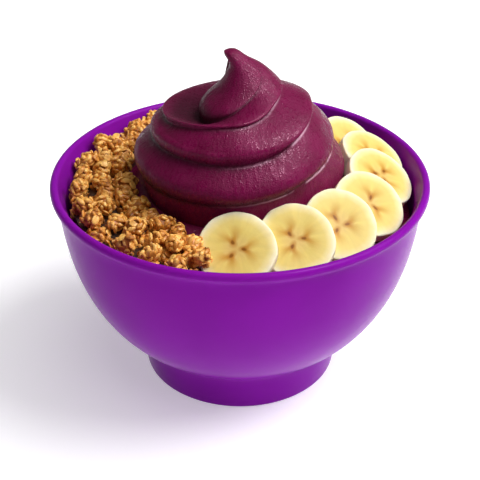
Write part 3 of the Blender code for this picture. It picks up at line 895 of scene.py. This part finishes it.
core = makeCore()
bpy.ops.object.shade_smooth_by_angle(angle=math.radians(60))
core.data.attributes.new("toastAndShade", "FLOAT", "POINT")
# the core's dark browns are painted shade, seen in the gaps between the clusters
coreShadeLook = makeToast("crumbCoreInShade", "#2a1306", "#4a270d", "#6e4018")
finishPiece(core, "granolaCore", coreShadeLook, ["granola"])
lumps, flakes, grains = makeGranola()
oats = makeToast("honeyBakedOats", "#643008", "#cb7c20", "#fcc263")
for name, shape, placed in (("oatLumps", makeLump, lumps), ("oatFlakes", makeFlake, flakes),
                            ("oatGrains", makeGrain, grains)):
    finishPiece(joinCopies(name, shape(), placed), name, oats, [])
print("granola heaped:", len(lumps), "clusters", len(flakes), "flakes", len(grains), "grains")


# the stage: pale floor, soft light from the right, camera
stage = {
    "keyPower": 12.5,
    "keyPlace": (0.66, -0.02, 0.9),
    "keySize": 0.85,
    "glintPower": 10.0,
    "glintPlace": (0.44, -0.22, 0.97),
    "glintSize": 0.3,
    "skyPower": 1.0,
    "skySpread": math.radians(55),
    "worldStrength": 0.13,
    "floor": "#f4f4f6",
    "floorSize": 40.0,
    "cameraPitch": math.radians(31.9),
    "cameraDistance": 0.450,
    "aimHeight": 0.0553,
    "lens": 81.75,
}


def makeFloor():
    deselectAll()
    bpy.ops.mesh.primitive_plane_add(size=stage["floorSize"], location=(0, 0, -0.0002))
    floor = bpy.context.object
    settle(floor)
    floor.name = "floor"
    # matt white floor that glows, painted light lifting the shadow: even near the bowl, dimmer farther out
    material, tree, shader = newMaterial("glowingWhiteFloor")
    place = addNode(tree, "ShaderNodeTexCoord").outputs["Object"]
    grain = addNode(tree, "ShaderNodeTexNoise", {"Scale": 4.0}, {"Vector": place})
    tone = addNode(tree, "ShaderNodeMix",
                   {"data_type": "RGBA", 6: linear(stage["floor"]), 7: linear("#ffffff")},
                   {0: grain.outputs["Fac"]})
    tree.links.new(tone.outputs[2], shader.inputs["Base Color"])
    shader.inputs["Roughness"].default_value = 0.9
    shader.inputs["Emission Color"].default_value = linear("#ffffff")
    away = addNode(tree, "ShaderNodeVectorMath", {"operation": "LENGTH"}, {0: place})
    glow = addNode(tree, "ShaderNodeMapRange",
                   {"From Min": 0.3, "From Max": 1.2, "To Min": 0.38, "To Max": 0.12},
                   {"Value": away.outputs["Value"]})
    tree.links.new(glow.outputs["Result"], shader.inputs["Emission Strength"])
    floor.data.materials.append(material)


def addLight(name, place, target, size, power):
    data = bpy.data.lights.new(name, "AREA")
    data.shape = "DISK"
    data.size = size
    data.energy = power
    light = bpy.data.objects.new(name, data)
    bpy.context.scene.collection.objects.link(light)
    light.location = place
    light.rotation_mode = "QUATERNION"
    light.rotation_quaternion = (Vector(target) - Vector(place)).to_track_quat("-Z", "Y")
    return light


makeFloor()
addLight("keyLight", stage["keyPlace"], (0, 0, 0.07), stage["keySize"], stage["keyPower"])
# small lamp seen only in wet surfaces
glintLight = addLight("glintLight", stage["glintPlace"], (0, 0, 0.1), stage["glintSize"], stage["glintPower"])
glintLight.visible_diffuse = False
sky = bpy.data.lights.new("skyLight", "SUN")
sky.energy = stage["skyPower"]
sky.angle = stage["skySpread"]
skyLight = bpy.data.objects.new("skyLight", sky)
bpy.context.scene.collection.objects.link(skyLight)
skyLight.rotation_mode = "QUATERNION"
skyLight.rotation_quaternion = Vector((-0.3, 0.2, -1.2)).to_track_quat("-Z", "Y")
world = bpy.data.worlds.new("studio")
bpy.context.scene.world = world
world.use_nodes = True
world.node_tree.nodes["Background"].inputs["Color"].default_value = linear("#ffffff")
world.node_tree.nodes["Background"].inputs["Strength"].default_value = stage["worldStrength"]
bpy.context.scene.view_settings.view_transform = "Standard"

cameraData = bpy.data.cameras.new("camera")
camera = bpy.data.objects.new("camera", cameraData)
bpy.context.scene.collection.objects.link(camera)
pitch, distance = stage["cameraPitch"], stage["cameraDistance"]
camera.location = (0, -distance * math.cos(pitch), distance * math.sin(pitch) + stage["aimHeight"])
camera.rotation_euler = (math.pi / 2 - pitch, 0, 0)
cameraData.lens = stage["lens"]
cameraData.sensor_width = 36
bpy.context.scene.camera = camera
print("stage set")
